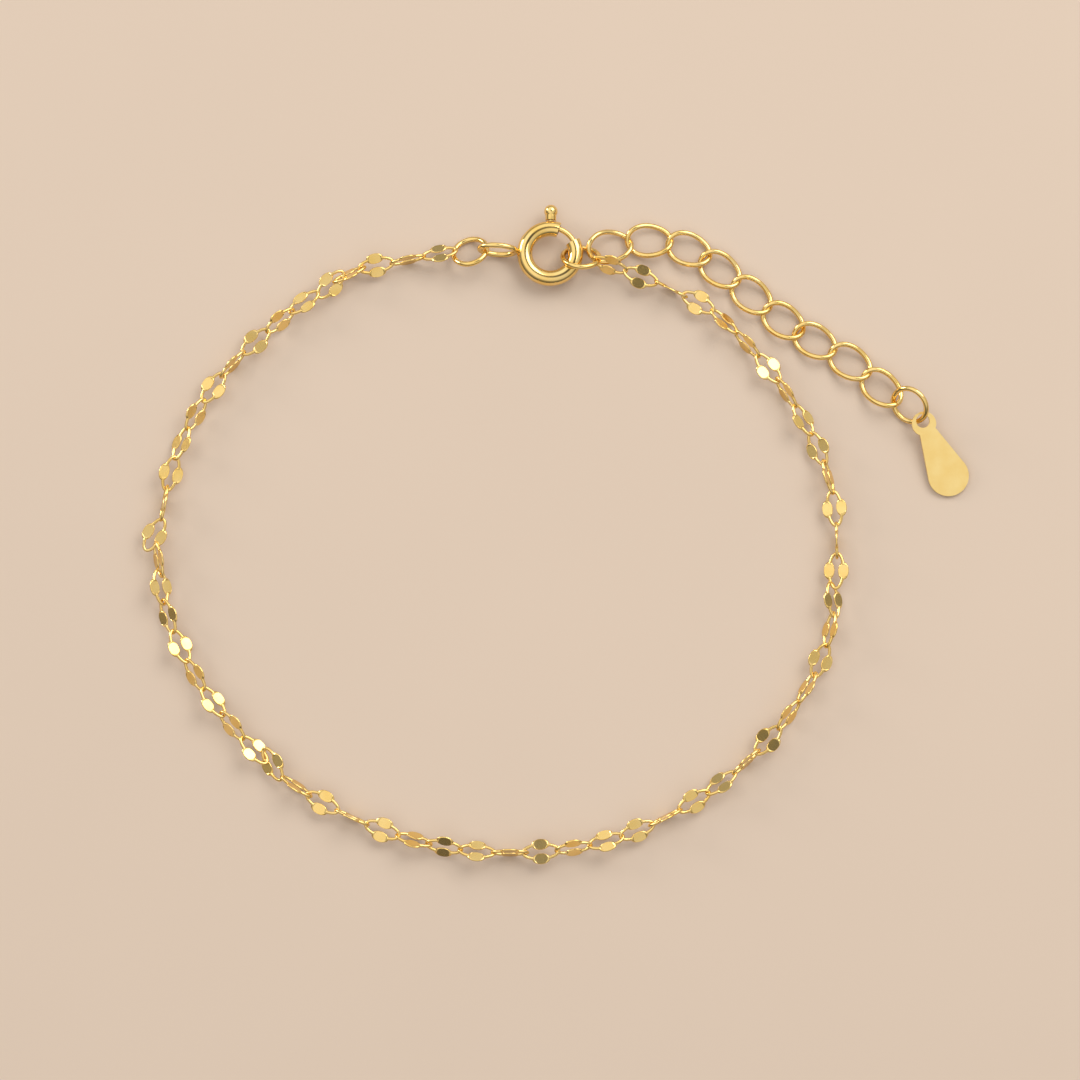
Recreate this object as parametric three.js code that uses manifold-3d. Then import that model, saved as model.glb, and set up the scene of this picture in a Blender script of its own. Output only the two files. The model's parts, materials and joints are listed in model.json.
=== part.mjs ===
// A fine gold bracelet: a chain of small beaten links, a spring-ring clasp, an extender and a tag.
// It lies on the plane z = 0, +Z up, in millimetres, and the origin is the middle of its outline.

import * as THREE from "three";
import { mergeVertices } from "three/addons/utils/BufferGeometryUtils.js";
import Module from "manifold-3d";

const wasm = await Module();
wasm.setup();

const radians = THREE.MathUtils.degToRad;
const UP = new THREE.Vector3(0, 0, 1);

// ---- Sizes ----

// Chain link: a flat oval. Each long side is beaten out into a pad, and a narrow slit parts the pads.
// along: distance from the link's middle; half: half width of the outline there.
const LINK_THICKNESS = 0.24;
const LINK_OUTLINE = [
  { along: 1.465, half: 0.15 },
  { along: 1.15, half: 0.52 },
  { along: 0.4, half: 0.93 },
];
const LINK_HOLE = [
  { along: 1.215, half: 0.18 },
  { along: 0.85, half: 0.3 },
  { along: 0.42, half: 0.1 },
];

// The chain's links are joined in short stretches, with a small gap from one stretch to the next.
const CHAIN_STRETCHES = [3, 3, 3, 4, 4, 4, 4, 4, 3, 4, 4, 3, 4, 3, 3, 4, 3];
const CHAIN_PITCH = { joined: 2.47, parted: 2.32 };

// How far each link is rolled about the chain's line from lying flat, in degrees.
// Neighbours roll opposite ways, and the last one is turned to meet its ring.
const LINK_ROLLS = [
  -35, 95, 27, 60, 20, 25, 55, 0, 80, 5,
  51, 40, 20, 75, 0, 65, 37, 42, 22, 46,
  30, 48, 25, 30, 68, 12, 80, 15, 50, 44,
  34, 80, 0, 57, 30, 26, 78, 25, 37, 78,
  0, 60, 64, 12, 60, 40, 10, 85, 15, 65,
  32, 33, 72, 8, 70, 47, 14, 76, 0, -53,
];

// Links that lie slack. slack: how much closer to the link before; aside: how far out of line,
// to the left of the chain's run; turn: how far the link is turned in plan, in degrees.
const SLACK_LINKS = [
  { link: 4, slack: 0.14, aside: 0, turn: 0 },
  { link: 5, slack: 0.86, aside: 0, turn: 15 },
  { link: 15, slack: 0, aside: -0.4, turn: -24 },
  { link: 16, slack: 0.6, aside: 0, turn: 10 },
  { link: 17, slack: 0.35, aside: 0, turn: 0 },
  { link: 24, slack: 0.72, aside: 0.2, turn: -20 },
  { link: 46, slack: 0.2, aside: 0.1, turn: 14 },
  { link: 47, slack: 0.2, aside: 0, turn: 0 },
  { link: 57, slack: -0.03, aside: 0, turn: 0 },
  { link: 59, slack: -0.05, aside: 0, turn: 0 },
  { link: 60, slack: -0.05, aside: 0, turn: 0 },
];
const IN_LINE = { slack: 0, aside: 0, turn: 0 };

// The chain's line, from the first link's middle round to the last one's.
const CHAIN_ROUTE = [
  { x: -8.93, y: 21.5, z: 1.0 },
  { x: -11.45, y: 20.98, z: 0.97 },
  { x: -15.7, y: 19.94, z: 0.95 },
  { x: -20.98, y: 16.33, z: 0.95 },
  { x: -26.06, y: 11.12, z: 0.95 },
  { x: -29.17, y: 4.68, z: 0.95 },
  { x: -30.0, y: -3.45, z: 0.95 },
  { x: -27.58, y: -10.35, z: 0.95 },
  { x: -22.99, y: -16.37, z: 0.95 },
  { x: -18.18, y: -20.25, z: 0.95 },
  { x: -11.36, y: -23.24, z: 0.95 },
  { x: -4.02, y: -24.39, z: 0.95 },
  { x: 3.64, y: -23.54, z: 0.95 },
  { x: 10.45, y: -20.48, z: 0.95 },
  { x: 16.06, y: -15.8, z: 0.95 },
  { x: 20.0, y: -9.74, z: 0.95 },
  { x: 21.21, y: -2.99, z: 0.95 },
  { x: 20.68, y: 4.14, z: 0.95 },
  { x: 17.5, y: 10.74, z: 0.95 },
  { x: 12.73, y: 16.33, z: 0.95 },
  { x: 8.71, y: 18.79, z: 0.95 },
  { x: 6.42, y: 19.72, z: 0.97 },
  { x: 4.03, y: 20.57, z: 1.33 },
];

// Spring-ring clasp: a bent tube with a mouth. A sprung tongue closes the mouth and is drawn back
// by its nub, whose neck runs in a slot in the tube's outer side. Angles are in plan, in degrees.
const CLASP = { x: -0.43, y: 21.47, z: 1.15, radius: 1.95, tube: 1.18, bore: 0.84 };
const MOUTH = { from: 27, to: 70 };
const TONGUE = { radius: 2.04, wire: 0.42, from: 22, to: 100 };
const NUB = { angle: 89, radius: 3.3, diameter: 1.04, neck: 0.4, stroke: 48 };
const COLLAR = { diameter: 0.84, from: 2.6, to: 3.0 };
const SLOT_CLEARANCE = 0.1;

// The eye soldered to the clasp's left side stands nearly upright.
const EYE = { halfLength: 1.385, halfHeight: 0.89, wire: 0.42, angle: 176, lean: -80, sunk: 0.11 };

// Jump rings: radius to the middle of the wire; lean: tilt about X, from lying flat, in degrees.
const CLASP_JUMP_RING = {
  x: -6.56, y: 21.66, z: 0.94, radius: 1.31, wire: 0.4, lean: -34, heading: 115,
};
const END_JUMP_RING = {
  x: 1.93, y: 21.15, z: 1.2, radius: 1.4, wire: 0.4, lean: -45.4, heading: 87.1,
};

// Extender: flat curb links, each twisted so that its two ends cross their neighbours'.
const CURB_LINK = { halfLength: 1.7, halfWidth: 1.17, twist: -0.35, wire: 0.4 };
const CURB_STRETCHES = [3, 3, 3];
const CURB_PITCH = { joined: 3.14, parted: 2.87 };
const EXTENDER_ROUTE = [
  { x: 4.14, y: 22.09, z: 0.83 },
  { x: 5.3, y: 22.36, z: 0.56 },
  { x: 7.35, y: 22.6, z: 0.56 },
  { x: 10.28, y: 21.9, z: 0.55 },
  { x: 12.86, y: 20.12, z: 0.55 },
  { x: 17.53, y: 16.23, z: 0.55 },
  { x: 22.78, y: 12.88, z: 0.58 },
  { x: 24.95, y: 10.92, z: 0.75 },
  { x: 26.2, y: 9.95, z: 0.95 },
];

// The ring at the extender's end leans towards heading, an angle in plan, and carries the tag.
const END_RING = { x: 26.93, y: 9.6, z: 1.26, radius: 1.4, wire: 0.4, lean: 49.2, heading: 46.8 };

// Tag: a flat drop with a pierced eye. heading: its direction in plan from the hole;
// dip: how far it slopes down from the ring that it hangs on, in degrees.
const TAG = { x: 27.91, y: 8.43, thickness: 0.25, heading: -64.5, dip: 8.5, length: 4.6 };
const TAG_EYE = { radius: 0.93, offset: 0.23, hole: 0.52, neckAngle: 45 };
const TAG_END_RADIUS = 1.56;

// ---- Materials ----

const polishedGold = () =>
  new THREE.MeshStandardMaterial({ color: 0xe3b94a, roughness: 0.16, metalness: 1 });
const satinGold = () =>
  new THREE.MeshStandardMaterial({ color: 0xe6c76c, roughness: 0.42, metalness: 1 });

// ---- Solids ----

// A closed geometry as a solid that can be joined and cut.
function solidOf(geometry) {
  const bare = geometry.clone();
  bare.deleteAttribute("normal");
  bare.deleteAttribute("uv");
  const merged = mergeVertices(bare, 1e-5);
  return new wasm.Manifold(
    new wasm.Mesh({
      numProp: 3,
      vertProperties: merged.attributes.position.array,
      triVerts: new Uint32Array(merged.index.array),
    }),
  );
}

function geometryOf(solid) {
  const { vertProperties, triVerts } = solid.getMesh();
  return new THREE.BufferGeometry()
    .setAttribute("position", new THREE.BufferAttribute(new Float32Array(vertProperties), 3))
    .setIndex(new THREE.BufferAttribute(new Uint32Array(triVerts), 1));
}

function joined(geometries) {
  return geometries.map(solidOf).reduce((whole, piece) => whole.add(piece));
}

function namedMesh(name, geometry, material) {
  const mesh = new THREE.Mesh(geometry, material);
  mesh.name = name;
  return mesh;
}

// ---- Curves and wires ----

// An oval loop in the XY plane. With a twist its two ends tilt opposite ways.
class OvalLoop extends THREE.Curve {
  constructor(halfLength, halfWidth, twist = 0) {
    super();
    Object.assign(this, { halfLength, halfWidth, twist });
  }
  getPoint(t, target = new THREE.Vector3()) {
    const angle = 2 * Math.PI * t;
    return target.set(
      this.halfLength * Math.cos(angle),
      this.halfWidth * Math.sin(angle),
      this.twist * Math.sin(2 * angle),
    );
  }
}

// An arc about the Z axis, between two angles in degrees.
class Arc extends THREE.Curve {
  constructor(radius, from, to) {
    super();
    Object.assign(this, { radius, from: radians(from), to: radians(to) });
  }
  getPoint(t, target = new THREE.Vector3()) {
    const angle = THREE.MathUtils.lerp(this.from, this.to, t);
    return target.set(this.radius * Math.cos(angle), this.radius * Math.sin(angle), 0);
  }
}

function closedWire(loop, wire, steps, sides) {
  return new THREE.TubeGeometry(loop, steps, wire / 2, sides, true);
}

function openWire(curve, wire, steps, sides) {
  const section = new THREE.Shape(new THREE.Path().absarc(0, 0, wire / 2, 0, 2 * Math.PI).getPoints(sides / 2));
  return new THREE.ExtrudeGeometry(section, { extrudePath: curve, steps });
}

// A flat ring sector about the Z axis, between two radii and two angles, centred on z = 0.
function sector(inner, outer, from, to, height) {
  const shape = new THREE.Shape()
    .absarc(0, 0, outer, radians(from), radians(to), false)
    .absarc(0, 0, inner, radians(to), radians(from), true);
  const options = { depth: height, bevelEnabled: false, curveSegments: 6 };
  return new THREE.ExtrudeGeometry(shape, options).translate(0, 0, -height / 2);
}

// ---- Chains ----

// Where each link of a chain goes: one list of matrices for each stretch of joined links.
// A link's own X runs along the chain, and its Z is up before it is rolled.
function linkPlaces(routePoints, stretches, pitch, rolls = [], slackLinks = []) {
  const points = routePoints.map(({ x, y, z }) => new THREE.Vector3(x, y, z));
  const route = new THREE.CatmullRomCurve3(points, false, "catmullrom");
  route.arcLengthDivisions = 1000;
  const length = route.getLength();
  let travelled = 0;
  let number = 0;
  return stretches.map((count) =>
    Array.from({ length: count }, (_, place) => {
      number += 1;
      const { slack, aside, turn } = slackLinks.find(({ link }) => link === number) ?? IN_LINE;
      if (number > 1) travelled += (place === 0 ? pitch.parted : pitch.joined) - slack;
      const share = Math.min(travelled / length, 1);
      const side = new THREE.Vector3().crossVectors(UP, route.getTangentAt(share)).normalize();
      const position = route.getPointAt(share).addScaledVector(side, aside);
      const along = route.getTangentAt(share).applyAxisAngle(UP, radians(turn));
      const across = new THREE.Vector3().crossVectors(UP, along).normalize();
      const roll = radians(rolls[number - 1] ?? 0) * (number % 2 ? -1 : 1);
      across.applyAxisAngle(along, roll);
      const normal = new THREE.Vector3().crossVectors(along, across);
      return new THREE.Matrix4().makeBasis(along, across, normal).setPosition(position);
    }),
  );
}

// One mesh for each stretch, its links joined where they touch.
function stretchMeshes(name, places, linkGeometry, material) {
  return places.map((matrices, index) => {
    const links = matrices.map((matrix) => linkGeometry.clone().applyMatrix4(matrix));
    const label = `${name}_${String(index + 1).padStart(2, "0")}`;
    return namedMesh(label, geometryOf(joined(links)), material());
  });
}

// The rows of an outline's quarter, mirrored to a closed list of points.
function mirroredOutline(rows) {
  const quarters = [
    { sx: 1, sy: 1, from: rows },
    { sx: -1, sy: 1, from: rows.toReversed() },
    { sx: -1, sy: -1, from: rows },
    { sx: 1, sy: -1, from: rows.toReversed() },
  ];
  return quarters.flatMap(({ sx, sy, from }) =>
    from.map(({ along, half }) => new THREE.Vector2(sx * along, sy * half)),
  );
}

function chainLinkGeometry() {
  const shape = new THREE.Shape(mirroredOutline(LINK_OUTLINE));
  shape.holes.push(new THREE.Path(mirroredOutline(LINK_HOLE)));
  const options = { depth: LINK_THICKNESS, bevelEnabled: false };
  return new THREE.ExtrudeGeometry(shape, options).translate(0, 0, -LINK_THICKNESS / 2);
}

function chain() {
  const places = linkPlaces(
    CHAIN_ROUTE, CHAIN_STRETCHES, CHAIN_PITCH, LINK_ROLLS, SLACK_LINKS,
  );
  return stretchMeshes("chain_stretch", places, chainLinkGeometry(), polishedGold);
}

function extender() {
  const { halfLength, halfWidth, twist, wire } = CURB_LINK;
  const link = closedWire(new OvalLoop(halfLength, halfWidth, twist), wire, 16, 6);
  const places = linkPlaces(EXTENDER_ROUTE, CURB_STRETCHES, CURB_PITCH);
  return stretchMeshes("extender_stretch", places, link, polishedGold);
}

// ---- Clasp ----

function claspRing() {
  const tube = solidOf(new THREE.TorusGeometry(CLASP.radius, CLASP.tube / 2, 10, 36));
  const bore = solidOf(new THREE.TorusGeometry(CLASP.radius, CLASP.bore / 2, 6, 24));
  const mouth = solidOf(
    sector(CLASP.radius - CLASP.tube, CLASP.radius + CLASP.tube, MOUTH.from, MOUTH.to, 2 * CLASP.tube),
  );
  const slotWidth = NUB.neck + 2 * SLOT_CLEARANCE;
  const slotMargin = THREE.MathUtils.radToDeg(slotWidth / 2 / TONGUE.radius);
  const slot = solidOf(
    sector(
      CLASP.radius,
      CLASP.radius + CLASP.tube,
      NUB.angle - slotMargin,
      NUB.angle + NUB.stroke + slotMargin,
      slotWidth,
    ),
  );
  const eyeDistance = CLASP.radius + CLASP.tube / 2 + EYE.halfLength + EYE.wire / 2 - EYE.sunk;
  const eye = closedWire(new OvalLoop(EYE.halfLength, EYE.halfHeight), EYE.wire, 20, 6)
    .rotateX(radians(EYE.lean))
    .translate(eyeDistance, 0, 0)
    .rotateZ(radians(EYE.angle));
  const ring = tube.subtract(bore).subtract(mouth).subtract(slot).add(solidOf(eye));
  return namedMesh("clasp_ring", geometryOf(ring), polishedGold());
}

function claspTrigger() {
  const tongue = openWire(new Arc(TONGUE.radius, TONGUE.from, TONGUE.to), TONGUE.wire, 10, 8);
  const neckLength = NUB.radius - TONGUE.radius;
  const neck = new THREE.CylinderGeometry(NUB.neck / 2, NUB.neck / 2, neckLength, 8)
    .rotateZ(radians(-90))
    .translate(TONGUE.radius + neckLength / 2, 0, 0);
  const collarWidth = COLLAR.diameter / 2;
  const collar = new THREE.CylinderGeometry(collarWidth, collarWidth, COLLAR.to - COLLAR.from, 12)
    .rotateZ(radians(-90))
    .translate((COLLAR.from + COLLAR.to) / 2, 0, 0);
  const ball = new THREE.SphereGeometry(NUB.diameter / 2, 10, 8).translate(NUB.radius, 0, 0);
  const nub = [neck, collar, ball].map((piece) => piece.rotateZ(radians(NUB.angle)));
  return namedMesh("clasp_trigger", geometryOf(joined([tongue, ...nub])), polishedGold());
}

function clasp() {
  const group = new THREE.Group();
  group.position.set(CLASP.x, CLASP.y, CLASP.z);
  group.add(claspRing(), claspTrigger());
  return group;
}

// ---- Rings and tag ----

function ringMesh(name, { x, y, z, radius, wire, lean, heading = 90 }) {
  const mesh = namedMesh(name, closedWire(new OvalLoop(radius, radius), wire, 20, 6), polishedGold());
  mesh.rotation.set(radians(lean), 0, radians(heading - 90), "ZXY");
  mesh.position.set(x, y, z);
  return mesh;
}

function tag() {
  const { radius, offset, hole, neckAngle } = TAG_EYE;
  const neck = radians(neckAngle);
  const corner = new THREE.Vector2(offset + radius * Math.cos(neck), radius * Math.sin(neck));
  const reach = new THREE.Vector2(corner.x - TAG.length, corner.y);
  const tangent = reach.angle() - Math.acos(TAG_END_RADIUS / reach.length());
  const shape = new THREE.Shape()
    .absarc(offset, 0, radius, neck, -neck, false)
    .absarc(TAG.length, 0, TAG_END_RADIUS, -tangent, tangent, false);
  shape.holes.push(new THREE.Path().absarc(0, 0, hole, 0, 2 * Math.PI));
  const options = { depth: TAG.thickness, bevelEnabled: false, curveSegments: 12 };
  const dip = radians(TAG.dip);
  const geometry = new THREE.ExtrudeGeometry(shape, options).rotateY(dip);
  const mesh = namedMesh("tag", geometry, satinGold());
  mesh.rotation.z = radians(TAG.heading);
  mesh.position.set(TAG.x, TAG.y, (TAG.length + TAG_END_RADIUS) * Math.sin(dip));
  return mesh;
}

// ---- The bracelet ----

const bracelet = new THREE.Group();
bracelet.add(
  clasp(),
  ringMesh("clasp_jump_ring", CLASP_JUMP_RING),
  ...chain(),
  ringMesh("end_jump_ring", END_JUMP_RING),
  ...extender(),
  ringMesh("extender_end_ring", END_RING),
  tag(),
);

export default bracelet;
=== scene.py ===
"""A fine gold bracelet, laid in a loop: the finished pieces that stand for its CAD solids, and its stage.

Every length is in metres, in the CAD model's own frame, with +Z up from the surface.
"""

import json
import math

import bmesh
import bpy
from bpy.props import FloatProperty, FloatVectorProperty, PointerProperty
from mathutils import Matrix, Vector


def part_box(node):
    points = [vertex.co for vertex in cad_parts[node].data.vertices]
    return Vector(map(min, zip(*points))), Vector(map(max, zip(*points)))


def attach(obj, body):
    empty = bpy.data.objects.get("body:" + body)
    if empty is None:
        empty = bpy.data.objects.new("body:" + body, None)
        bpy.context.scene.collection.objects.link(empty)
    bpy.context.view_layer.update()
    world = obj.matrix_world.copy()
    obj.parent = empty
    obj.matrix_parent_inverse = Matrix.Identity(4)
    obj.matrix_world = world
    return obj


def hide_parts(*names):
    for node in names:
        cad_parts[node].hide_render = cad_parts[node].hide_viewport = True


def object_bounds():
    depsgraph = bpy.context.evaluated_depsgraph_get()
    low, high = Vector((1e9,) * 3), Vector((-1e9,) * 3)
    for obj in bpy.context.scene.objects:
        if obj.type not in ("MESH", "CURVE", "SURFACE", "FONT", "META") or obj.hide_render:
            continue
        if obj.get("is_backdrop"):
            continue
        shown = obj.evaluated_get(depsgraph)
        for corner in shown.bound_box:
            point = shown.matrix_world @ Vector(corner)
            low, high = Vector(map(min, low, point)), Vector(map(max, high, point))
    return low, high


bl_info = {
    "name": "Gold chain bracelet",
    "version": (1, 0, 0),
    "blender": (4, 5, 0),
    "location": "View3D > Sidebar > Bracelet",
    "description": "Finishes a beaten-link bracelet with its clasp, extender and tag",
    "category": "Object",
}

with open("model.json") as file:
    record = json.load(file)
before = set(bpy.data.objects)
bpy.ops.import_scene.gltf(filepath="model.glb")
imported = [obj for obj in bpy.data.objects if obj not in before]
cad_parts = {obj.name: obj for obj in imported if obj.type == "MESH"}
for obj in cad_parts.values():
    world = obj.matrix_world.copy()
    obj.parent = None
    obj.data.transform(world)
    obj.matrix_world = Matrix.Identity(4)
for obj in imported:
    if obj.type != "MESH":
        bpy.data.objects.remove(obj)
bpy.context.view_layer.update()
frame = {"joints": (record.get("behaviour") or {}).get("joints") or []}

MM = 0.001
UP = Vector((0, 0, 1))
LEVEL = 0.9999  # a face whose normal rises or falls by this much of its length counts as level
DOUBLES = 0.0001 * MM  # vertices that lie this close together are one
SLIVER = 0.002 * MM  # a join leaves stray edges of about this length
BODY = "bracelet"
TRIGGER_BODY = "trigger"
CLASP_CENTRE = Vector(frame["joints"][0]["pos_m"])

# The chain's line, from the first link's middle round to the last one's.
CHAIN_ROUTE = [
    (-8.93, 21.5, 1.0),
    (-11.45, 20.98, 0.97),
    (-15.7, 19.94, 0.95),
    (-20.98, 16.33, 0.95),
    (-26.06, 11.12, 0.95),
    (-29.17, 4.68, 0.95),
    (-30.0, -3.45, 0.95),
    (-27.58, -10.35, 0.95),
    (-22.99, -16.37, 0.95),
    (-18.18, -20.25, 0.95),
    (-11.36, -23.24, 0.95),
    (-4.02, -24.39, 0.95),
    (3.64, -23.54, 0.95),
    (10.45, -20.48, 0.95),
    (16.06, -15.8, 0.95),
    (20.0, -9.74, 0.95),
    (21.21, -2.99, 0.95),
    (20.68, 4.14, 0.95),
    (17.5, 10.74, 0.95),
    (12.73, 16.33, 0.95),
    (8.71, 18.79, 0.95),
    (6.42, 19.72, 0.97),
    (4.03, 20.57, 1.33),
]

# The solids hold the links in short joined stretches, a little further apart than across a gap.
CHAIN_STRETCHES = [3, 3, 3, 4, 4, 4, 4, 4, 3, 4, 4, 3, 4, 3, 3, 4, 3]
CHAIN_PITCH = {"joined": 2.47, "parted": 2.32}

# How far each link is rolled about the chain's line from lying flat, in degrees.
# Neighbours roll opposite ways, and the first and last ones are turned to meet their rings.
LINK_ROLLS = [
    [-35, 95, 27, 60, 20, 25, 55, 0, 80, 5],
    [51, 40, 20, 75, 0, 65, 37, 42, 22, 46],
    [30, 48, 25, 30, 68, 12, 80, 15, 50, 44],
    [34, 80, 0, 57, 30, 26, 78, 25, 37, 78],
    [0, 60, 64, 12, 60, 40, 10, 85, 15, 65],
    [32, 33, 72, 8, 70, 47, 14, 76, 0, -53],
]

# Links that lie slack: (how much closer to the link before and how far to the left of the chain's
# run, in millimetres, and how far turned in plan, in degrees).
SLACK_LINKS = {
    4: (0.14, 0, 0),
    5: (0.86, 0, 15),
    15: (0, -0.4, -24),
    16: (0.6, 0, 10),
    17: (0.35, 0, 0),
    24: (0.72, 0.2, -20),
    46: (0.2, 0.1, 14),
    47: (0.2, 0, 0),
    57: (-0.03, 0, 0),
    59: (-0.05, 0, 0),
    60: (-0.05, 0, 0),
}

EXTENDER_ROUTE = [
    (4.14, 22.09, 0.83),
    (5.3, 22.36, 0.56),
    (7.35, 22.6, 0.56),
    (10.28, 21.9, 0.55),
    (12.86, 20.12, 0.55),
    (17.53, 16.23, 0.55),
    (22.78, 12.88, 0.58),
    (24.95, 10.92, 0.75),
    (26.2, 9.95, 0.95),
]
EXTENDER_STRETCHES = [3, 3, 3]
EXTENDER_PITCH = {"joined": 3.14, "parted": 2.87}


def length(name, description, default):
    """A length property of a few millimetres."""
    return FloatProperty(
        name=name, description=description, default=default * MM, unit="LENGTH", precision=6
    )


def angle(name, description, default):
    """An angle property, given in degrees."""
    return FloatProperty(
        name=name, description=description, default=math.radians(default), subtype="ANGLE"
    )


def colour(name, description, default):
    """A colour property."""
    return FloatVectorProperty(
        name=name, description=description, default=default, subtype="COLOR", min=0, max=1
    )


class LinkSizes(bpy.types.PropertyGroup):
    """Sizes of one beaten chain link."""

    half_length: length("Half length", "Middle of the link to its wire's middle at a tip", 1.34)
    half_width: length("Half width", "Middle of the link to the middle of a beaten side", 0.54)
    wire: length("Wire", "Diameter of the wire", 0.24)
    swelling_half_length: length("Swelling half length", "Half length of a beaten side", 0.68)
    swelling_height: length("Swelling height", "Thickness of a beaten side beside its flat", 0.34)
    pad_half_length: length("Pad half length", "Half length of a pressed face", 0.47)
    pad_width: length("Pad width", "Width of a beaten side", 0.82)
    pad_height: length("Pad height", "Thickness between the pressed faces", 0.13)
    edge: length("Edge", "Width of the softened edges", 0.014)


class ClaspSizes(bpy.types.PropertyGroup):
    """Sizes of the spring-ring clasp."""

    radius: length("Radius", "Middle of the clasp to the middle of its tube", 1.95)
    tube: length("Tube", "Outer diameter of the tube", 1.18)
    bore: length("Bore", "Inner diameter of the tube", 0.84)
    mouth_from: angle("Mouth from", "Where the mouth starts, in plan", 27)
    mouth_to: angle("Mouth to", "Where the mouth ends, in plan", 70)
    tongue_radius: length("Tongue radius", "Middle of the clasp to the tongue", 2.04)
    tongue_wire: length("Tongue wire", "Diameter of the tongue", 0.42)
    tongue_from: angle("Tongue from", "Where the tongue's tip lies, in plan", 22)
    tongue_to: angle("Tongue to", "Where the tongue's hidden end lies, in plan", 100)
    nub_angle: angle("Nub angle", "Where the nub stands, in plan", 89)
    nub_stroke: angle("Nub stroke", "How far the nub is drawn back", 48)
    nub_radius: length("Nub radius", "Middle of the clasp to the middle of the nub", 3.3)
    nub_diameter: length("Nub diameter", "Diameter of the nub", 1.04)
    neck: length("Neck", "Diameter of the nub's neck", 0.4)
    collar: length("Collar", "Diameter of the collar under the nub", 0.84)
    collar_from: length("Collar from", "Middle of the clasp to the collar's near end", 2.6)
    collar_to: length("Collar to", "Middle of the clasp to the collar's far end", 3.0)
    slot_clearance: length("Slot clearance", "Gap between the neck and the slot", 0.1)
    eye_half_length: length("Eye half length", "Middle of the eye to its wire, outwards", 1.385)
    eye_half_height: length("Eye half height", "Middle of the eye to its wire, upwards", 0.89)
    eye_wire: length("Eye wire", "Diameter of the eye's wire", 0.42)
    eye_angle: angle("Eye angle", "Where the eye is soldered, in plan", 176)
    eye_lean: angle("Eye lean", "How far the eye leans from lying flat", -80)
    eye_sunk: length("Eye sunk", "How far the eye is set into the tube", 0.11)
    edge: length("Edge", "Width of the tube's softened edges", 0.03)
    trigger_edge: length("Trigger edge", "Width of the trigger's softened edges", 0.04)


class RingSizes(bpy.types.PropertyGroup):
    """Sizes and leans of the three round rings."""

    wire: length("Wire", "Diameter of the rings' wire", 0.4)
    clasp_radius: length("Clasp ring radius", "Radius of the ring in the clasp's eye", 1.31)
    clasp_lean: angle("Clasp ring lean", "Tilt of the ring in the clasp's eye", -34)
    clasp_heading: angle("Clasp ring heading", "Plan angle that the clasp's ring tilts about", 115)
    end_radius: length("Closing ring radius", "Radius of the ring that the clasp holds", 1.4)
    end_lean: angle("Closing ring lean", "Tilt of the ring that the clasp holds", -45.4)
    end_heading: angle("Closing ring heading", "Plan angle that the closing ring tilts about", 87.1)
    tag_radius: length("Tag ring radius", "Radius of the ring that holds the tag", 1.4)
    tag_lean: angle("Tag ring lean", "Tilt of the ring that holds the tag", 49.2)
    tag_heading: angle("Tag ring heading", "Plan angle that the tag's ring rises towards", 46.8)


class ExtenderSizes(bpy.types.PropertyGroup):
    """Sizes of one curb link of the extender."""

    half_length: length("Half length", "Middle of the link to its wire, lengthwise", 1.7)
    half_width: length("Half width", "Middle of the link to its wire, across", 1.17)
    twist: length("Twist", "How far the link's quarters rise and fall", -0.35)
    wire: length("Wire", "Diameter of the wire", 0.4)


class TagSizes(bpy.types.PropertyGroup):
    """Sizes of the drop-shaped tag."""

    length: length("Length", "Hole to the middle of the round end", 4.6)
    end_radius: length("End radius", "Radius of the round end", 1.56)
    eye_radius: length("Eye radius", "Radius of the pierced end", 0.93)
    eye_offset: length("Eye offset", "Hole to the middle of the pierced end", 0.23)
    hole: length("Hole", "Radius of the hole", 0.52)
    neck_angle: angle("Neck angle", "Where the flanks leave the pierced end", 45)
    thickness: length("Thickness", "Thickness of the sheet", 0.25)
    heading: angle("Heading", "Direction of the tag in plan", -64.5)
    dip: angle("Dip", "Slope of the tag down to the surface", 8.5)
    edge: length("Edge", "Width of the softened edges", 0.04)


class Colours(bpy.types.PropertyGroup):
    """Colours of the metal and the stage."""

    gold: colour("Gold", "Polished plating", (0.93, 0.685, 0.275))
    deep_gold: colour("Deep gold", "Plating where it lies thickest", (0.89, 0.6, 0.175))
    satin: colour("Satin gold", "Plating on the tag", (0.97, 0.75, 0.32))
    floor: colour("Floor", "Pale ground under the bracelet", (0.62, 0.506, 0.412))


class BraceletSettings(bpy.types.PropertyGroup):
    """All that a user would change."""

    link: PointerProperty(type=LinkSizes, name="Link", description="Chain link")
    clasp: PointerProperty(type=ClaspSizes, name="Clasp", description="Spring-ring clasp")
    rings: PointerProperty(type=RingSizes, name="Rings", description="Round rings")
    extender: PointerProperty(type=ExtenderSizes, name="Extender", description="Curb links")
    tag: PointerProperty(type=TagSizes, name="Tag", description="Drop-shaped tag")
    colours: PointerProperty(type=Colours, name="Colours", description="Metal and stage")


# ---- Where the links lie ----


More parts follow.
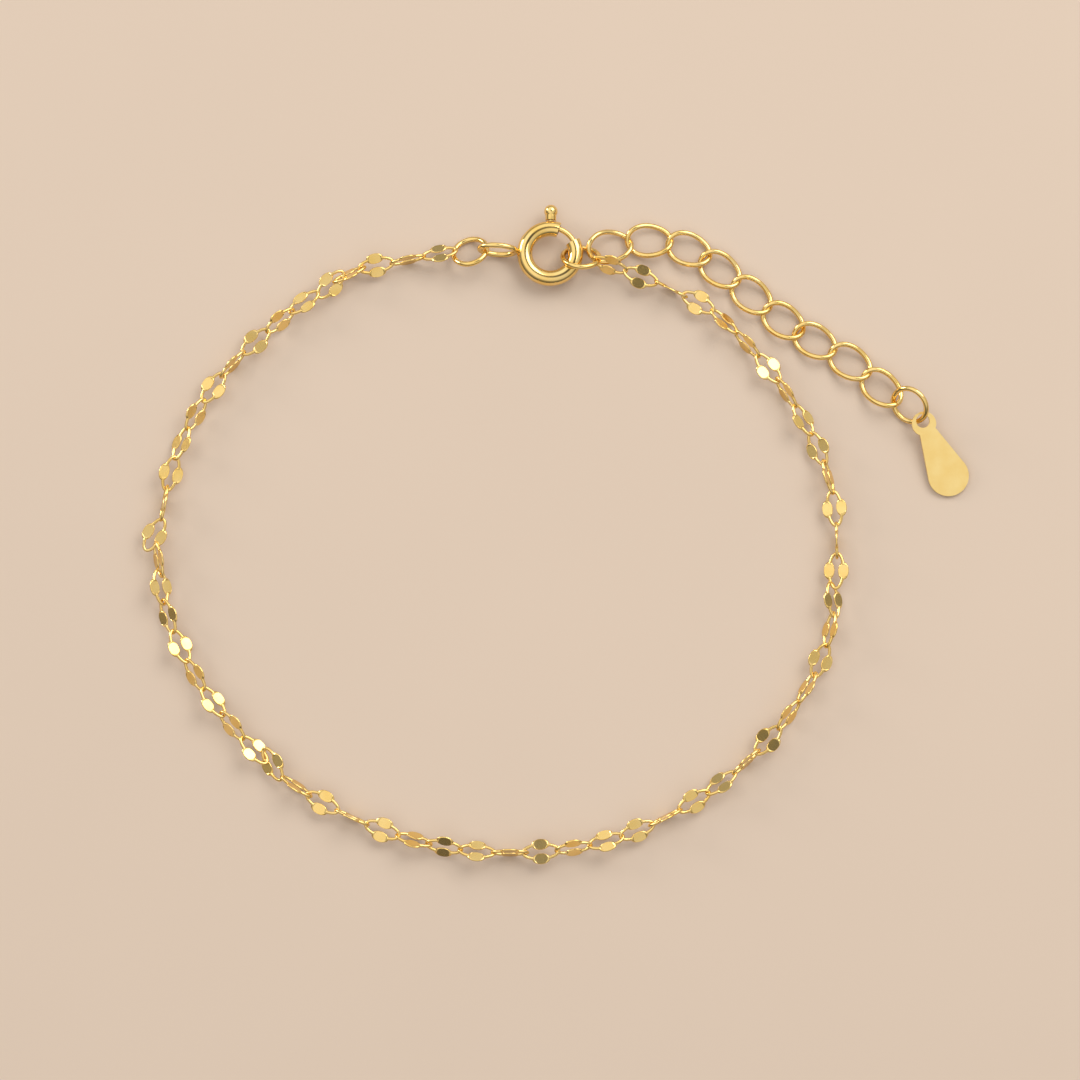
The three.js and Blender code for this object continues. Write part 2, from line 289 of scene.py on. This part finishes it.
class Route:
    """A smooth line through points given in millimetres, measured along its length."""

    DIVISIONS = 1000  # into which the line is cut to measure its length
    NEARBY = 1e-4  # how far off, in the line's parameter, its direction is taken

    def __init__(self, points):
        self.points = [Vector(p) * MM for p in points]
        steps = [self.at(i / self.DIVISIONS) for i in range(self.DIVISIONS + 1)]
        self.travelled = [0.0]
        for a, b in zip(steps, steps[1:]):
            self.travelled.append(self.travelled[-1] + (b - a).length)

    def at(self, t):
        """The point at parameter t, by the uniform Catmull-Rom rule."""
        p = self.points
        place = min(max(t, 0), 1) * (len(p) - 1)
        i = min(int(place), len(p) - 2)
        w = place - i
        before = p[i - 1] if i else 2 * p[0] - p[1]
        after = p[i + 2] if i + 2 < len(p) else 2 * p[-1] - p[-2]
        start, end = (p[i + 1] - before) / 2, (after - p[i]) / 2
        rise = p[i + 1] - p[i]
        return p[i] + w * start + w**2 * (3 * rise - 2 * start - end) + w**3 * (start + end - 2 * rise)

    def measure(self, distance):
        """The point and the direction at a distance along the line."""
        distance = min(distance, self.travelled[-1])
        i = next(i for i, far in enumerate(self.travelled) if far >= distance or i == self.DIVISIONS)
        i = max(i, 1)
        near, far = self.travelled[i - 1], self.travelled[i]
        t = (i - 1 + (distance - near) / (far - near)) / self.DIVISIONS
        direction = self.at(min(t + self.NEARBY, 1)) - self.at(max(t - self.NEARBY, 0))
        return self.at(t), direction.normalized()


def link_places(route_points, stretches, pitch, rolls=(), slack_links=None):
    """The matrix of each link of a chain, with the number of the stretch that it belongs to."""
    route = Route(route_points)
    travelled = 0
    number = 0
    places = []
    for stretch, count in enumerate(stretches, start=1):
        for place in range(count):
            number += 1
            slack, aside, turn = (slack_links or {}).get(number, (0, 0, 0))
            if number > 1:
                travelled += ((pitch["joined"] if place else pitch["parted"]) - slack) * MM
            point, along = route.measure(travelled)
            side = UP.cross(along).normalized()
            point = point + side * aside * MM
            along = Matrix.Rotation(math.radians(turn), 3, UP) @ along
            roll = math.radians(rolls[number - 1]) if rolls else 0
            across = UP.cross(along).normalized()
            across = Matrix.Rotation(-roll if number % 2 else roll, 3, along) @ across
            basis = Matrix((along, across, along.cross(across))).transposed()
            places.append((Matrix.Translation(point) @ basis.to_4x4(), stretch))
    return places


# ---- Modelling ----


def alone(piece):
    """Makes one object the only selected one, and the active one."""
    bpy.ops.object.select_all(action="DESELECT")
    piece.select_set(True)
    bpy.context.view_layer.objects.active = piece
    return piece


def started(name):
    """Names the primitive that was just added."""
    piece = bpy.context.active_object
    piece.name = name
    piece.data.name = name
    return alone(piece)


def modified(piece, kind, **settings):
    """Adds a modifier to a piece and applies it."""
    alone(piece)
    modifier = piece.modifiers.new(kind.title(), kind)
    for key, value in settings.items():
        setattr(modifier, key, value)
    bpy.ops.object.modifier_apply(modifier=modifier.name)
    return piece


def carved(piece, tool, operation="DIFFERENCE"):
    """Joins a tool to a piece or cuts it away, and discards the tool."""
    modified(piece, "BOOLEAN", object=tool, operation=operation, solver="EXACT")
    bpy.data.objects.remove(tool)
    return piece


def applied(piece, matrix):
    """Moves a piece to its place and puts the place in its mesh."""
    alone(piece)
    piece.matrix_world = matrix
    bpy.ops.object.transform_apply(location=True, rotation=True, scale=True)
    return piece


def copied(piece, name):
    """A copy of a piece with a mesh of its own."""
    twin = piece.copy()
    twin.data = piece.data.copy()
    twin.name = name
    twin.data.name = name
    bpy.context.collection.objects.link(twin)
    return twin


def tidied(piece, merge=DOUBLES):
    """Merges doubles and turns the faces outwards."""
    alone(piece)
    bpy.ops.object.mode_set(mode="EDIT")
    bpy.ops.mesh.select_all(action="SELECT")
    bpy.ops.mesh.remove_doubles(threshold=merge)
    bpy.ops.mesh.normals_make_consistent(inside=False)
    bpy.ops.object.mode_set(mode="OBJECT")
    return piece


def shaded(piece, angle=35):
    """Shades a piece smooth, apart from its sharp edges and the rims of its level faces."""
    alone(piece)
    bpy.ops.object.shade_smooth_by_angle(angle=math.radians(angle))
    mesh = bmesh.new()
    mesh.from_mesh(piece.data)
    for edge in mesh.edges:
        if len({abs(face.normal.z) > LEVEL for face in edge.link_faces}) > 1:
            edge.smooth = False
    mesh.to_mesh(piece.data)
    mesh.free()
    return piece


def softened(piece, width, segments=2, sharper_than=0.9):
    """Rounds the edges at which the surface turns by more than an angle, in radians."""
    return modified(
        piece, "BEVEL", width=width, segments=segments, limit_method="ANGLE", angle_limit=sharper_than
    )


def finished(piece, material, body, node):
    """Gives a modelled piece its finish and its body, and hides the CAD part that it stands for."""
    piece.data.materials.clear()
    piece.data.materials.append(material)
    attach(piece, body)
    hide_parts(node)
    return piece


def spun(name, start, end, steps):
    """Spins the flat outline that was just added about +Z, into a closed solid."""
    piece = started(name)
    bpy.ops.object.transform_apply(location=True, rotation=True, scale=True)
    bpy.ops.object.mode_set(mode="EDIT")
    bpy.ops.mesh.select_all(action="SELECT")
    bpy.ops.mesh.spin(steps=steps, angle=start - end, center=(0, 0, 0), axis=(0, 0, 1))
    bpy.ops.object.mode_set(mode="OBJECT")
    tidied(piece)
    return applied(piece, Matrix.Rotation(start, 4, "Z"))


def bent_rod(name, radius, wire, start, end, sides, steps):
    """A round rod bent to an arc about +Z, with flat ends."""
    bpy.ops.mesh.primitive_circle_add(
        vertices=sides,
        radius=wire / 2,
        fill_type="NGON",
        location=(radius, 0, 0),
        rotation=(math.pi / 2, 0, 0),
    )
    return spun(name, start, end, steps)


def bent_bar(name, inner, outer, height, start, end, steps=24):
    """A square bar bent to an arc about +Z."""
    bpy.ops.mesh.primitive_plane_add(
        size=1, location=((inner + outer) / 2, 0, 0), rotation=(math.pi / 2, 0, 0)
    )
    bpy.context.active_object.scale = (outer - inner, height, 1)
    return spun(name, start, end, steps)


def bar_along(name, diameter, start, end):
    """A round bar along X, between two distances from the origin."""
    bpy.ops.mesh.primitive_cylinder_add(
        vertices=28,
        radius=diameter / 2,
        depth=end - start,
        location=((start + end) / 2, 0, 0),
        rotation=(0, math.pi / 2, 0),
    )
    bar = started(name)
    bpy.ops.object.transform_apply(location=True, rotation=True, scale=True)
    return bar


def wire_loop(name, half_length, half_width, wire, twist=0, steps=16):
    """A closed oval of round wire in the XY plane; with a twist, its ends tilt opposite ways."""
    bpy.ops.curve.primitive_bezier_circle_add(radius=1)
    loop = started(name)
    applied(loop, Matrix.Diagonal((half_length, half_width, 1, 1)))
    # A twisted loop rises and falls as the sine of twice the angle; the handles give it those slopes.
    for point in loop.data.splines[0].bezier_points:
        point.radius = 1
        point.handle_left_type = point.handle_right_type = "FREE"
        lift = twist * math.pi / 3 * (1 if abs(point.co.x) > abs(point.co.y) else -1)
        point.handle_left.z += lift
        point.handle_right.z -= lift
    loop.data.resolution_u = steps
    loop.data.bevel_depth = wire / 2
    loop.data.bevel_resolution = 6
    bpy.ops.object.convert(target="MESH")
    return tidied(bpy.context.active_object)


def beaten_link(sizes):
    """One chain link: an oval of wire whose long sides are beaten out and pressed flat."""
    link = wire_loop("beaten_link", sizes.half_length, sizes.half_width, sizes.wire, steps=14)
    for side in (1, -1):
        carved(link, beaten_side(sizes, side), "UNION")
    for side in (1, -1):
        for face in (1, -1):
            carved(link, pressing_die(sizes, side, face))
    tidied(softened(link, sizes.edge, segments=1, sharper_than=0.5))
    pad_map = link.data.uv_layers.new(name="pads")
    for loop in link.data.loops:
        place = link.data.vertices[loop.vertex_index].co / MM
        pad_map.data[loop.index].uv = (place.x, place.y)
    return link


def beaten_side(sizes, side):
    """The swelling of the wire on one side of the link, before it is pressed."""
    bpy.ops.mesh.primitive_uv_sphere_add(
        segments=28, ring_count=14, radius=1, rotation=(0, math.pi / 2, 0)
    )
    swelling = started("beaten_side")
    bpy.ops.object.transform_apply(location=True, rotation=True, scale=True)
    size = (sizes.swelling_half_length, sizes.pad_width / 2, sizes.swelling_height / 2, 1)
    place = Matrix.Translation((0, sizes.half_width * side, 0))
    return tidied(applied(swelling, place @ Matrix.Diagonal(size)))


def pressing_die(sizes, side, face):
    """The oval punch that presses one face of one side flat, and leaves steep ends to it."""
    widening = 0.35
    reach = 0.52 * sizes.pad_width
    bpy.ops.mesh.primitive_cone_add(
        vertices=32, radius1=1, radius2=1 + widening, depth=1, location=(0, 0, 0.5)
    )
    die = started("pressing_die")
    bpy.ops.object.transform_apply(location=True, rotation=True, scale=True)
    size = (sizes.pad_half_length, reach, sizes.pad_height * face, 1)
    place = Matrix.Translation((0, sizes.half_width * side, sizes.pad_height / 2 * face))
    return tidied(applied(die, place @ Matrix.Diagonal(size)))


# ---- Finishes ----


class Value:
    """A number in a node tree. An expression on values adds the Math nodes that work it out."""

    def __init__(self, tree, socket):
        self.tree = tree
        self.socket = socket

    def maths(self, operation, *terms, clamp=False):
        settings = {"operation": operation, "use_clamp": clamp}
        return self.tree.node("ShaderNodeMath", settings, dict(enumerate(terms)))

    def __add__(self, other):
        return self.maths("ADD", self, other)

    __radd__ = __add__

    def __sub__(self, other):
        return self.maths("SUBTRACT", self, other)

    def __rsub__(self, other):
        return self.maths("SUBTRACT", other, self)

    def __mul__(self, other):
        return self.maths("MULTIPLY", self, other)

    __rmul__ = __mul__

    def clamped(self):
        return self.maths("ADD", self, 0, clamp=True)


class NodeTree:
    """A node tree that is put together node by node."""

    def __init__(self, tree):
        self.tree = tree

    def node(self, kind, settings=None, inputs=None, output=0):
        """Adds a node, makes its settings, fills its sockets and returns one of its outputs."""
        made = self.tree.nodes.new(kind)
        for key, value in (settings or {}).items():
            if key == "stops":
                self.set_stops(made.color_ramp, value)
            else:
                setattr(made, key, value)
        for key, value in (inputs or {}).items():
            self.fill(made.inputs[key], value)
        return Value(self, made.outputs[output])

    def set_stops(self, ramp, stops):
        while len(ramp.elements) < len(stops):
            ramp.elements.new(1)
        for element, (position, value) in zip(ramp.elements, stops):
            element.position = position
            element.color = (value, value, value, 1)

    def fill(self, socket, value):
        if isinstance(value, Value):
            self.tree.links.new(value.socket, socket)
        else:
            socket.default_value = value

    def split(self, vector):
        """The three numbers of a vector."""
        first = self.node("ShaderNodeSeparateXYZ", inputs={"Vector": vector})
        return [Value(self, socket) for socket in first.socket.node.outputs]

    def ramp(self, value, *stops):
        return self.node("ShaderNodeValToRGB", {"stops": stops}, {"Fac": value})

    def blend(self, factor, first, second):
        return self.node(
            "ShaderNodeMix",
            {"data_type": "RGBA"},
            {"Factor": factor, 6: (*first, 1), 7: (*second, 1)},
            output=2,
        )


class Finish(NodeTree):
    """A material."""

    def __init__(self, name, **constants):
        self.material = bpy.data.materials.new(name)
        self.material.use_nodes = True
        super().__init__(self.material.node_tree)
        self.shader = self.tree.nodes["Principled BSDF"]
        for key, value in constants.items():
            self.shader.inputs[key.replace("_", " ").title()].default_value = value

    def feed(self, socket, value):
        """Feeds one of the shader's own sockets."""
        self.fill(self.shader.inputs[socket], value)

    def coordinates(self, stretch=(1, 1, 1)):
        """Object coordinates in millimetres, with an optional stretch."""
        place = self.node("ShaderNodeTexCoord", output="Object")
        scale = tuple(s / MM for s in stretch)
        return self.node("ShaderNodeMapping", inputs={"Vector": place, "Scale": scale})

    def noise(self, place, scale, detail, roughness=0.5):
        return self.node(
            "ShaderNodeTexNoise",
            inputs={"Vector": place, "Scale": scale, "Detail": detail, "Roughness": roughness},
        )

    def relief(self, height, distance, strength):
        self.feed(
            "Normal",
            self.node(
                "ShaderNodeBump",
                inputs={"Height": height, "Distance": distance, "Strength": strength},
            ),
        )


def polished_gold(colours):
    """Bright gold plate on round wire: handled, so faintly smeared, with hair-fine polishing marks."""
    finish = Finish("polished_plate", metallic=1.0)
    place = finish.coordinates()
    smears = finish.ramp(finish.noise(place, scale=0.9, detail=4), (0.35, 0), (0.7, 1))
    marks = finish.noise(finish.coordinates(stretch=(1, 1, 5)), scale=9, detail=2)
    finish.feed("Base Color", finish.blend(smears, colours.gold, colours.deep_gold))
    finish.feed("Roughness", 0.06 + smears * 0.07 + marks * 0.05)
    finish.relief(marks, distance=0.0015 * MM, strength=0.5)
    return finish.material


def beaten_gold(colours):
    """Gold plate on the chain: the pressed faces are streaked by the roller, the wire is smooth."""
    finish = Finish("beaten_plate", metallic=1.0)
    across = finish.node("ShaderNodeUVMap", {"uv_map": "pads"})
    drawn_out = finish.node("ShaderNodeMapping", inputs={"Vector": across, "Scale": (14, 1.6, 1)})
    streaks = finish.noise(drawn_out, scale=1, detail=3)
    smears = finish.noise(finish.coordinates(), scale=0.5, detail=3)
    smears = finish.ramp(smears, (0.35, 0), (0.7, 1))
    finish.feed("Base Color", finish.blend(smears, colours.gold, colours.deep_gold))
    finish.feed("Roughness", 0.09 + streaks * 0.12 + smears * 0.04)
    finish.relief(streaks, distance=0.002 * MM, strength=0.4)
    return finish.material


def satin_gold(colours):
    """Matt gold plate on stamped sheet, with a fine grain and a few short scratches."""
    finish = Finish("satin_plate", metallic=1.0)
    place = finish.coordinates()
    grain = finish.noise(place, scale=22, detail=4, roughness=0.7)
    clouds = finish.ramp(finish.noise(place, scale=0.8, detail=3), (0.3, 0), (0.75, 1))
    scratches = finish.noise(finish.coordinates(stretch=(1, 8, 1)), scale=2.2, detail=2)
    scratches = finish.ramp(scratches, (0.68, 0), (0.72, 1))
    finish.feed("Base Color", finish.blend(clouds * 0.6, colours.satin, colours.deep_gold))
    finish.feed("Roughness", 0.36 + grain * 0.12 - scratches * 0.08)
    finish.relief(grain, distance=0.004 * MM, strength=0.5)
    return finish.material


def floor_paint(colours):
    """Plain pale ground, barely mottled."""
    finish = Finish("floor_paint", roughness=0.75)
    mottle = finish.noise(finish.coordinates(), scale=0.04, detail=2)
    lift = 1.04
    paler = tuple(min(1, channel * lift) for channel in colours.floor)
    finish.feed("Base Color", finish.blend(mottle, colours.floor, paler))
    return finish.material


def finish_for(name, maker, colours):
    """The material of that name, made the first time that it is asked for."""
    return bpy.data.materials.get(name) or maker(colours)


# ---- Pieces ----


class BRACELET_OT_chain(bpy.types.Operator):
    """Models one beaten link and lays its copies along the chain's line"""

    bl_idname = "bracelet.chain"
    bl_label = "Beaten chain"

    def execute(self, context):
        settings = context.scene.bracelet
        material = finish_for("beaten_plate", beaten_gold, settings.colours)
        pattern = shaded(beaten_link(settings.link), angle=50)
        rolls = [roll for row in LINK_ROLLS for roll in row]
        places = link_places(CHAIN_ROUTE, CHAIN_STRETCHES, CHAIN_PITCH, rolls, SLACK_LINKS)
        for number, (matrix, stretch) in enumerate(places, start=1):
            link = applied(copied(pattern, f"chain_link_{number:02d}"), matrix)
            finished(link, material, BODY, f"chain_stretch_{stretch:02d}")
        bpy.data.objects.remove(pattern)
        return {"FINISHED"}


class BRACELET_OT_clasp_ring(bpy.types.Operator):
    """Models the clasp's slotted tube and the eye that is soldered to it"""

    bl_idname = "bracelet.clasp_ring"
    bl_label = "Clasp ring"

    def execute(self, context):
        settings = context.scene.bracelet
        sizes = settings.clasp
        start, end = sizes.mouth_to, sizes.mouth_from + 2 * math.pi
        ring = bent_rod(
            "clasp_ring_polished", sizes.radius, sizes.tube, start, end, sides=32, steps=112
        )
        overshoot = 0.05
        start, end = start - overshoot, end + overshoot
        carved(ring, bent_rod("bore", sizes.radius, sizes.bore, start, end, sides=24, steps=112))
        slot_width = sizes.neck + 2 * sizes.slot_clearance
        margin = slot_width / 2 / sizes.tongue_radius
        slot = bent_bar(
            "slot",
            sizes.radius,
            sizes.radius + sizes.tube,
            slot_width,
            sizes.nub_angle - margin,
            sizes.nub_angle + sizes.nub_stroke + margin,
        )
        carved(ring, slot)
        reach = sizes.radius + sizes.tube / 2 + sizes.eye_half_length + sizes.eye_wire / 2
        eye = wire_loop("eye", sizes.eye_half_length, sizes.eye_half_height, sizes.eye_wire)
        applied(
            eye,
            Matrix.Rotation(sizes.eye_angle, 4, "Z")
            @ Matrix.Translation((reach - sizes.eye_sunk, 0, 0))
            @ Matrix.Rotation(sizes.eye_lean, 4, "X"),
        )
        tidied(carved(ring, eye, "UNION"), merge=SLIVER)
        applied(tidied(softened(ring, sizes.edge)), Matrix.Translation(CLASP_CENTRE))
        material = finish_for("polished_plate", polished_gold, settings.colours)
        finished(shaded(ring), material, BODY, "clasp_ring")
        return {"FINISHED"}


class BRACELET_OT_clasp_trigger(bpy.types.Operator):
    """Models the sprung tongue that closes the clasp, with its neck and nub"""

    bl_idname = "bracelet.clasp_trigger"
    bl_label = "Clasp trigger"

    def execute(self, context):
        settings = context.scene.bracelet
        sizes = settings.clasp
        trigger = bent_rod(
            "clasp_trigger_polished",
            sizes.tongue_radius,
            sizes.tongue_wire,
            sizes.tongue_from,
            sizes.tongue_to,
            sides=20,
            steps=36,
        )
        outwards = Matrix.Rotation(sizes.nub_angle, 4, "Z")
        neck = bar_along("neck", sizes.neck, sizes.tongue_radius, sizes.nub_radius)
        carved(trigger, applied(neck, outwards), "UNION")
        collar = bar_along("collar", sizes.collar, sizes.collar_from, sizes.collar_to)
        carved(trigger, applied(collar, outwards), "UNION")
        bpy.ops.mesh.primitive_uv_sphere_add(
            segments=32,
            ring_count=20,
            radius=sizes.nub_diameter / 2,
            location=(sizes.nub_radius, 0, 0),
            rotation=(0, math.pi / 2, 0),
        )
        nub = started("nub")
        bpy.ops.object.transform_apply(location=True, rotation=True, scale=True)
        tidied(carved(trigger, applied(nub, outwards), "UNION"), merge=2 * SLIVER)
        softened(trigger, sizes.trigger_edge)
        applied(tidied(trigger), Matrix.Translation(CLASP_CENTRE))
        material = finish_for("polished_plate", polished_gold, settings.colours)
        finished(shaded(trigger), material, TRIGGER_BODY, "clasp_trigger")
        return {"FINISHED"}


class BRACELET_OT_rings(bpy.types.Operator):
    """Models the three round rings that join the clasp, the chain, the extender and the tag"""

    bl_idname = "bracelet.rings"
    bl_label = "Round rings"

    def execute(self, context):
        settings = context.scene.bracelet
        sizes = settings.rings
        material = finish_for("polished_plate", polished_gold, settings.colours)
        quarter_turn = math.pi / 2
        rings = [
            ("clasp_jump_ring", sizes.clasp_radius, sizes.clasp_lean, sizes.clasp_heading),
            ("end_jump_ring", sizes.end_radius, sizes.end_lean, sizes.end_heading),
            ("extender_end_ring", sizes.tag_radius, sizes.tag_lean, sizes.tag_heading),
        ]
        for node, radius, lean, heading in rings:
            ring = wire_loop(node + "_polished", radius, radius, sizes.wire, steps=20)
            low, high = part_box(node)
            place = (
                Matrix.Translation((Vector(low) + Vector(high)) / 2)
                @ Matrix.Rotation(heading - quarter_turn, 4, "Z")
                @ Matrix.Rotation(lean, 4, "X")
            )
            finished(shaded(applied(ring, place)), material, BODY, node)
        return {"FINISHED"}


class BRACELET_OT_extender(bpy.types.Operator):
    """Models one twisted curb link and lays its copies along the extender's line"""

    bl_idname = "bracelet.extender"
    bl_label = "Extender"

    def execute(self, context):
        settings = context.scene.bracelet
        sizes = settings.extender
        material = finish_for("polished_plate", polished_gold, settings.colours)
        pattern = shaded(
            wire_loop("curb_link", sizes.half_length, sizes.half_width, sizes.wire, sizes.twist)
        )
        places = link_places(EXTENDER_ROUTE, EXTENDER_STRETCHES, EXTENDER_PITCH)
        for number, (matrix, stretch) in enumerate(places, start=1):
            link = applied(copied(pattern, f"curb_link_{number:02d}"), matrix)
            finished(link, material, BODY, f"extender_stretch_{stretch:02d}")
        bpy.data.objects.remove(pattern)
        return {"FINISHED"}


class BRACELET_OT_tag(bpy.types.Operator):
    """Models the flat drop-shaped tag with its pierced eye"""

    bl_idname = "bracelet.tag"
    bl_label = "Tag"

    def execute(self, context):
        settings = context.scene.bracelet
        sizes = settings.tag
        tag = disc("tag_satin", sizes.end_radius, sizes.length, sizes.thickness, vertices=96)
        carved(tag, tag_flanks(sizes), "UNION")
        eye = disc("eye_lobe", sizes.eye_radius, sizes.eye_offset, sizes.thickness, vertices=64)
        carved(tag, eye, "UNION")
        carved(tag, disc("hole", sizes.hole, 0, 3 * sizes.thickness, vertices=48))
        softened(tag, sizes.edge, segments=3)
        tilt = Matrix.Rotation(sizes.heading, 4, "Z") @ Matrix.Rotation(sizes.dip, 4, "Y")
        applied(tidied(tag), tilt)
        corner = Vector(min(vertex.co[axis] for vertex in tag.data.vertices) for axis in range(3))
        applied(tag, Matrix.Translation(Vector(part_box("tag")[0]) - corner))
        material = finish_for("satin_plate", satin_gold, settings.colours)
        finished(shaded(tag), material, BODY, "tag")
        return {"FINISHED"}


def disc(name, radius, offset, thickness, vertices):
    """A round plate whose middle lies at an offset along X."""
    bpy.ops.mesh.primitive_cylinder_add(
        vertices=vertices, radius=radius, depth=thickness, location=(offset, 0, 0)
    )
    piece = started(name)
    bpy.ops.object.transform_apply(location=True, rotation=True, scale=True)
    return piece


def tag_flanks(sizes):
    """The plate between the tag's two round ends, with flanks that touch the larger one."""
    corner = Vector((
        sizes.eye_offset + sizes.eye_radius * math.cos(sizes.neck_angle),
        sizes.eye_radius * math.sin(sizes.neck_angle),
    ))
    reach = Vector((corner.x - sizes.length, corner.y))
    tangent = math.atan2(reach.y, reach.x) - math.acos(sizes.end_radius / reach.length)
    touch = Vector((
        sizes.length + sizes.end_radius * math.cos(tangent),
        sizes.end_radius * math.sin(tangent),
    ))
    bpy.ops.mesh.primitive_cube_add(size=1)
    flanks = started("flanks")
    bpy.ops.object.mode_set(mode="EDIT")
    for end, outer in ((1, touch), (-1, corner)):
        mesh = bmesh.from_edit_mesh(flanks.data)
        for vertex in mesh.verts:
            vertex.select = vertex.co.x * end > 0
        mesh.select_flush_mode()
        bmesh.update_edit_mesh(flanks.data)
        middle = Vector((end / 2, 0, 0))
        bpy.ops.transform.resize(value=(1, 2 * outer.y, sizes.thickness), center_override=middle)
        bpy.ops.transform.translate(value=Vector((outer.x, 0, 0)) - middle)
    bpy.ops.object.mode_set(mode="OBJECT")
    return tidied(flanks)


# ---- Stage ----


class BRACELET_OT_stage(bpy.types.Operator):
    """Sets the pale floor, the soft studio lights and the camera"""

    bl_idname = "bracelet.stage"
    bl_label = "Stage"

    # How bright the room is, by the cosine of the angle from the middle of the shade overhead.
    CEILING = (
        (0.0, 0.14),
        (0.34, 0.36),
        (0.55, 0.9),
        (0.88, 1.0),
        (0.945, 0.85),
        (0.965, 0.3),
        (1.0, 0.06),
    )
    BRIGHTNESS = 1.06
    # How far that middle lies to the right of and beyond straight overhead, in degrees.
    SHADE_LEAN = (12, 9)
    # How much darker the room grows towards the right, and how much brighter towards the far side.
    SIDE_FALL = 0.3
    FAR_RISE = 0.15
    WALL_COLOUR = (1, 0.97, 0.93, 1)
    LAMP_COLOUR = (1, 0.96, 0.9)
    FLOOR_SIZE = 3
    # What the camera looks at, from how many degrees above the ground, and how wide its view is there.
    TARGET = Vector((-1.21, -0.75, 1)) * MM
    ELEVATION = 81
    SPAN = 81.8 * MM
    LENS = 120
    SENSOR = 36

    def execute(self, context):
        colours = context.scene.bracelet.colours
        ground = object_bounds()[0].z
        bpy.ops.mesh.primitive_plane_add(size=self.FLOOR_SIZE, location=(0, 0, ground))
        floor = started("floor")
        bpy.ops.object.transform_apply(location=True, rotation=True, scale=True)
        floor.data.materials.append(finish_for("floor_paint", floor_paint, colours))
        floor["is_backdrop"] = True
        self.soft_box("key", azimuth=48, height=48, distance=0.45, size=0.3, power=0.9)
        self.soft_box("window", azimuth=150, height=18, distance=0.5, size=0.16, power=0.8)
        self.backdrop(context)
        self.camera(context)
        context.scene.view_settings.view_transform = "Standard"
        return {"FINISHED"}

    def backdrop(self, context):
        """Pale walls and a bright ceiling, whose middle is shaded by whoever bends over the bracelet."""
        world = bpy.data.worlds.new("studio")
        context.scene.world = world
        world.use_nodes = True
        tree = NodeTree(world.node_tree)
        across, along, up = tree.split(tree.node("ShaderNodeTexCoord", output="Generated"))
        right, far = (math.sin(math.radians(lean)) for lean in self.SHADE_LEAN)
        overhead = math.sqrt(1 - right**2 - far**2)
        towards_shade = (across * right + along * far + up * overhead).clamped()
        rings = tree.ramp(towards_shade, *self.CEILING)
        brightness = rings * self.BRIGHTNESS * (1 - across * self.SIDE_FALL + along * self.FAR_RISE)
        background = world.node_tree.nodes["Background"]
        background.inputs["Color"].default_value = self.WALL_COLOUR
        tree.fill(background.inputs["Strength"], brightness)

    def soft_box(self, name, azimuth, height, distance, size, power):
        """A square lamp that faces the bracelet; azimuth runs anticlockwise from +X, in degrees."""
        around, up = math.radians(azimuth), math.radians(height)
        level = Vector((math.cos(around), math.sin(around), 0))
        towards = level * math.cos(up) + UP * math.sin(up)
        bpy.ops.object.light_add(type="AREA", location=self.TARGET + towards * distance)
        lamp = bpy.context.active_object
        lamp.name = name
        lamp.rotation_euler = (-towards).to_track_quat("-Z", "Y").to_euler()
        lamp.data.size = size
        lamp.data.energy = power
        lamp.data.color = self.LAMP_COLOUR

    def camera(self, context):
        """A long lens, nearly overhead."""
        elevation = math.radians(self.ELEVATION)
        distance = self.SPAN * self.LENS / self.SENSOR
        back = Vector((0, -math.cos(elevation), math.sin(elevation)))
        bpy.ops.object.camera_add(location=self.TARGET + back * distance)
        camera = bpy.context.active_object
        camera.rotation_euler = (-back).to_track_quat("-Z", "Y").to_euler()
        camera.data.lens = self.LENS
        camera.data.sensor_width = self.SENSOR
        camera.data.clip_start = distance / 20
        camera.data.clip_end = distance * 20
        context.scene.camera = camera


# ---- The add-on ----

MAKERS = (
    BRACELET_OT_chain,
    BRACELET_OT_clasp_ring,
    BRACELET_OT_clasp_trigger,
    BRACELET_OT_rings,
    BRACELET_OT_extender,
    BRACELET_OT_tag,
    BRACELET_OT_stage,
)


class BRACELET_PT_panel(bpy.types.Panel):
    """Lists the bracelet's pieces and sizes"""

    bl_idname = "BRACELET_PT_panel"
    bl_label = "Bracelet"
    bl_space_type = "VIEW_3D"
    bl_region_type = "UI"
    bl_category = "Bracelet"

    def draw(self, context):
        layout = self.layout
        for maker in MAKERS:
            layout.operator(maker.bl_idname)
        settings = context.scene.bracelet
        for group_name in type(settings).__annotations__:
            group = getattr(settings, group_name)
            box = layout.box()
            box.label(text=settings.bl_rna.properties[group_name].name)
            for name in type(group).__annotations__:
                box.prop(group, name)


CLASSES = (
    LinkSizes,
    ClaspSizes,
    RingSizes,
    ExtenderSizes,
    TagSizes,
    Colours,
    BraceletSettings,
    *MAKERS,
    BRACELET_PT_panel,
)


def register():
    """Registers the classes and the scene's settings."""
    for cls in CLASSES:
        bpy.utils.register_class(cls)
    bpy.types.Scene.bracelet = PointerProperty(type=BraceletSettings)


def unregister():
    """Removes the scene's settings and the classes."""
    del bpy.types.Scene.bracelet
    for cls in reversed(CLASSES):
        bpy.utils.unregister_class(cls)


def main():
    """Makes every piece and the stage."""
    register()
    for maker in MAKERS:
        group, name = maker.bl_idname.split(".")
        getattr(getattr(bpy.ops, group), name)()


if __name__ == "__main__":
    main()
